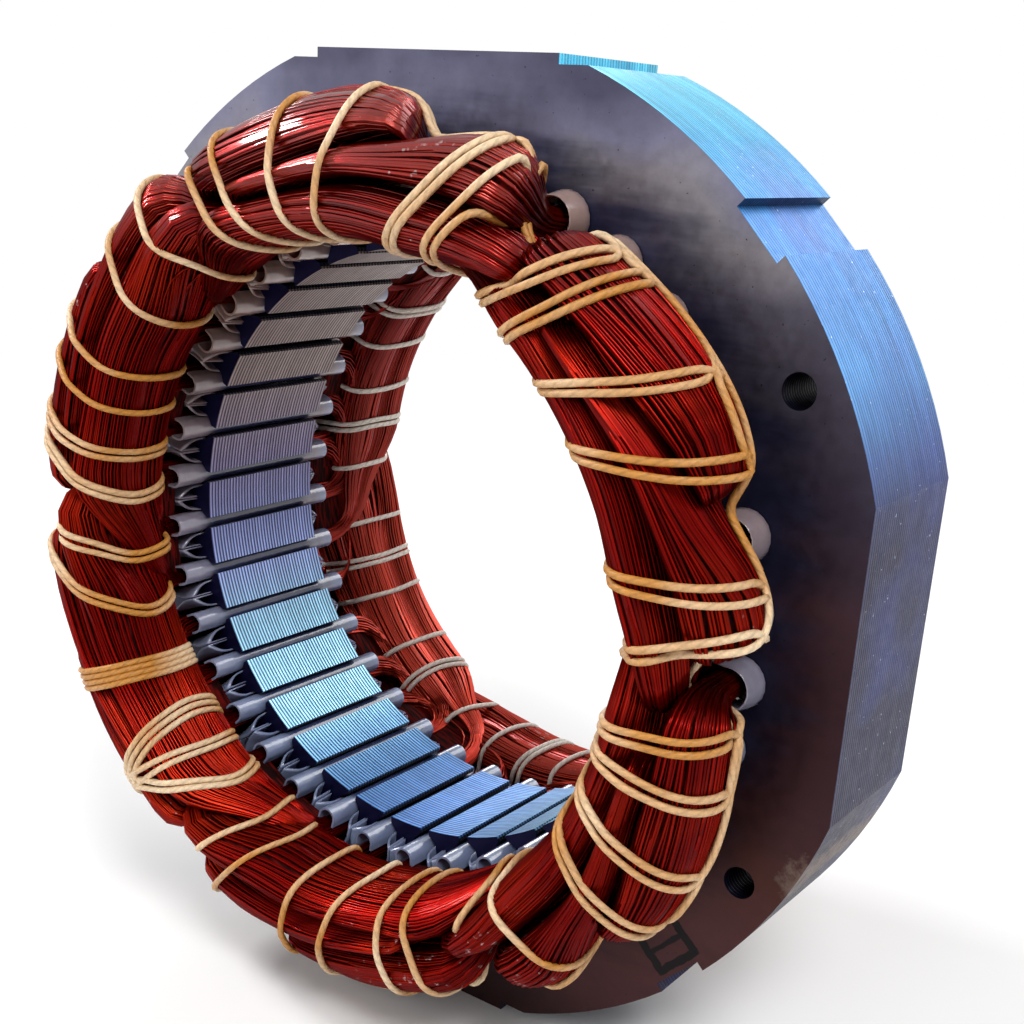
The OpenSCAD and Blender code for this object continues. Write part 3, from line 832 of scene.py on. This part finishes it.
# The middle of the ring's section, in mm, from which a tight cord's reach is measured.
middle_r, middle_depth = 58.5, {"front": 15, "back": 20}
hulls = {}


def hull_at(side_name, degree):
    """The outline that a tight cord takes round all the coils at that whole degree."""
    key = (side_name, degree % 60)
    if key not in hulls:
        side = sides[side_name]
        middle = middle_depth[side_name]
        points = [(middle_r + 2 * math.cos(k), middle + 2 * math.sin(k)) for k in range(6)]
        for coil in coils.values():
            first, last = coil["span"]
            for index in (-2, -1, 0, 1, 2):
                # A pitch is 10 degrees, and the first pole's middle lies at 40.
                at = (key[1] - 40) / 10 - 6 * index
                if first + 0.25 <= at <= last - 0.25:
                    points += [coil_section(coil, side, at, 0.26 * k, 0.95) for k in range(24)]
        hulls[key] = [points[k] for k in geometry.convex_hull_2d([Vector(p) for p in points])]
    return hulls[key]


def tight(side_name, degrees, slant):
    """How far from the ring's middle a tight cord lies, in a direction of its section."""
    reach = []
    centre = Vector((middle_r, middle_depth[side_name]))
    aim = centre + Vector((math.cos(slant), math.sin(slant))) * 60
    for degree in (math.floor(degrees), math.floor(degrees) + 1):
        hull = hull_at(side_name, degree)
        hits = [
            geometry.intersect_line_line_2d(centre, aim, Vector(a), Vector(b))
            for a, b in zip(hull, hull[1:] + hull[:1])
        ]
        reach.append(max((hit - centre).length for hit in hits if hit))
    part = degrees - math.floor(degrees)
    return reach[0] + (reach[1] - reach[0]) * part


def cord_point(side_name, degrees, slant, proud):
    """A place on the cord's middle line, that far proud of the coils."""
    out = tight(side_name, degrees, slant) + proud
    depth = middle_depth[side_name] + out * math.sin(slant)
    return placed(sides[side_name], middle_r + out * math.cos(slant), depth, math.radians(degrees))


def rounded(points, times):
    """The same way with its corners eased, as a stiff cord takes them."""
    for _ in range(times):
        eased = [(a + 2 * b + c) / 4 for a, b, c in zip(points, points[1:], points[2:])]
        points = points[:1] + eased + points[-1:]
    return points


def lacing_way(side_name, turns, mixer):
    """The middle of the whole cord: round the ring, on to the next place, and again.

    Two or three turns lie apart, and four lie close as a band. A run stands prouder of
    the coils than the turns do, so that it passes over them.
    """
    way = []
    for n, (angle_in, angle_out, times) in enumerate(turns):
        start = mixer.uniform(-0.35, 0.05)
        for k in range(times):
            shift = k - (times - 1) / 2
            a = angle_in + shift * (mixer.uniform(1.3, 1.6) if times < 4 else 1.15)
            b = angle_out + shift * (mixer.uniform(1.1, 2.2) if times < 4 else 0.95)
            for step in range(turn_steps):
                slant = start + math.pi * 2 * step / turn_steps
                degrees = (a + b) / 2 + (b - a) / 2 * math.cos(slant)
                way.append(cord_point(side_name, degrees, slant, 0.5))
        here = (a + b) / 2 + (b - a) / 2 * math.cos(start)
        follow = turns[(n + 1) % len(turns)][1]
        ahead = here - (here - follow) % 360
        steps = max(3, round(abs(ahead - here) / 1.2))
        for step in range(1, steps):
            degrees = here + (ahead - here) * step / steps
            way.append(cord_point(side_name, degrees, start, 0.7))
    return rounded(way, 2)


def even(points, step):
    """The same way in even steps, so that the cord's twist is even."""
    out, left = [points[0]], step
    for a, b in zip(points, points[1:]):
        length = (b - a).length
        while left <= length:
            out.append(a.lerp(b, left / length))
            left += step
        left -= length
    return out


cord, tree, shader = new_material("varnished_polyester_cord")
place = add(tree, "TexCoord", output="Object")
fibre = add(tree, "TexNoise", {"Vector": place, "Scale": 1500, "Detail": 3, "Roughness": 0.6})
soak = add(tree, "TexNoise", {"Vector": place, "Scale": 45, "Detail": 2})
soak = add(tree, "MapRange", {0: soak, 1: 0.42, 2: 0.66})
tint = add(tree, "MixRGB", {"Fac": soak, "Color1": linear("#bd8034"), "Color2": linear("#e6cba6")})
# The back's cord is paler.
axes = add(tree, "SeparateXYZ", {0: place}).node.outputs
behind = add(tree, "MapRange", {0: axes["Y"], 1: -0.01, 2: 0.01, 4: 0.75})
tint = add(tree, "MixRGB", {"Fac": behind, "Color1": tint, "Color2": linear("#ece6de")})
# The two strands show as shallow grooves that wind along the cord.
lay = add(tree, "Attribute", output="Fac", attribute_name="lay")
winding = add(tree, "Math", {0: lay, 1: 2 * math.pi}, operation="MULTIPLY")
winding = add(tree, "Math", {0: winding}, operation="SINE")
groove = add(tree, "MapRange", {0: winding, 1: -1, 2: -0.2, 3: 0, 4: 1})
fibre_tone = add(tree, "MapRange", {0: fibre, 1: 0.3, 2: 0.7, 3: 0.82, 4: 1.12})
groove_tone = add(tree, "MapRange", {0: groove, 3: 0.84, 4: 1.02})
tone = add(tree, "Math", {0: fibre_tone, 1: groove_tone}, operation="MULTIPLY")
tint = add(tree, "MixRGB", {"Fac": 1, "Color1": tint, "Color2": tone}, blend_type="MULTIPLY")
tree.links.new(tint, shader.inputs["Base Color"])
shader.inputs["Roughness"].default_value = 0.5
height = add(tree, "Math", {0: fibre, 1: 0.35, 2: groove}, operation="MULTIPLY_ADD")
bump = add(tree, "Bump", {"Height": height, "Strength": 0.4, "Distance": 0.00015})
tree.links.new(bump, shader.inputs["Normal"])

for side_name, turns, seed in (("front", front_turns, 5), ("back", back_turns, 6)):
    way = even(lacing_way(side_name, turns, random.Random(seed)), 1.1 * MM)
    name = side_name + "_lacing"
    mesh = tubes(name + "_cord", [way], cord_d[side_name], cord_corners, twist)
    piece = new_piece(name + "_cord", mesh, (cord,))
    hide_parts(name)

# ---- Floor and light ----
# A pale bench under plain soft lamps. Far from the object the floor fades into white.

floor_shape = bmesh.new()
bmesh.ops.create_circle(floor_shape, cap_ends=True, segments=96, radius=6)
floor_mesh = bpy.data.meshes.new("floor")
floor_shape.to_mesh(floor_mesh)
floor_shape.free()
floor = bpy.data.objects.new("floor", floor_mesh)
scene.collection.objects.link(floor)


def plainly_seen(tree):
    """1 for rays that show plain white: the camera's, off gloss and through clear matter."""
    seen, *others = [
        add(tree, "LightPath", output=f"Is {kind} Ray")
        for kind in ("Camera", "Glossy", "Transmission")
    ]
    for ray in others:
        seen = add(tree, "Math", {0: seen, 1: ray}, operation="MAXIMUM")
    return seen


bench, tree, shader = new_material("pale_bench")
shader.inputs["Base Color"].default_value = linear("#f0f0f0")
shader.inputs["Roughness"].default_value = 0.8
place = add(tree, "TexCoord", output="Object")
far = add(tree, "VectorMath", {0: place}, output="Value", operation="LENGTH")
far = add(tree, "MapRange", {0: far, 1: 0.16, 2: 0.7}, interpolation_type="SMOOTHSTEP")
white = add(tree, "Emission", {"Color": (1, 1, 1, 1), "Strength": 1})
far = add(tree, "Math", {0: far, 1: plainly_seen(tree)}, operation="MULTIPLY")
blend = add(tree, "MixShader", {0: far, 1: shader.outputs[0], 2: white})
tree.links.new(blend, tree.nodes["Material Output"].inputs["Surface"])
floor_mesh.materials.append(bench)

world = bpy.data.worlds.new("studio")
scene.world = world
world.use_nodes = True
tree = world.node_tree
background = tree.nodes["Background"]
background.inputs["Color"].default_value = (1, 1, 1, 1)
strength = add(tree, "MapRange", {0: plainly_seen(tree), 3: 0.3, 4: 1})
tree.links.new(strength, background.inputs["Strength"])


def lamp(name, place, power, size):
    """A square soft lamp that faces the object."""
    data = bpy.data.lights.new(name, "AREA")
    data.energy = power
    data.size = size
    made = bpy.data.objects.new(name, data)
    scene.collection.objects.link(made)
    made.location = place
    towards = Vector((0, 0, 0.08)) - Vector(place)
    made.rotation_euler = towards.to_track_quat("-Z", "Y").to_euler()


lamp("key", (0.45, -0.35, 0.75), 4.7, 0.3)
lamp("fill", (-0.7, -0.6, 0.4), 1.2, 0.6)
lamp("back", (0.2, 0.7, 0.6), 2.8, 0.5)
lamp("rear window", (-0.5, 0.7, 0.32), 1.6, 0.3)
lamp("front", (0.02, -0.8, 0.5), 1.5, 0.35)
lamp("window", (-0.65, -0.1, 0.6), 3.8, 0.12)

scene.view_settings.view_transform = "Standard"
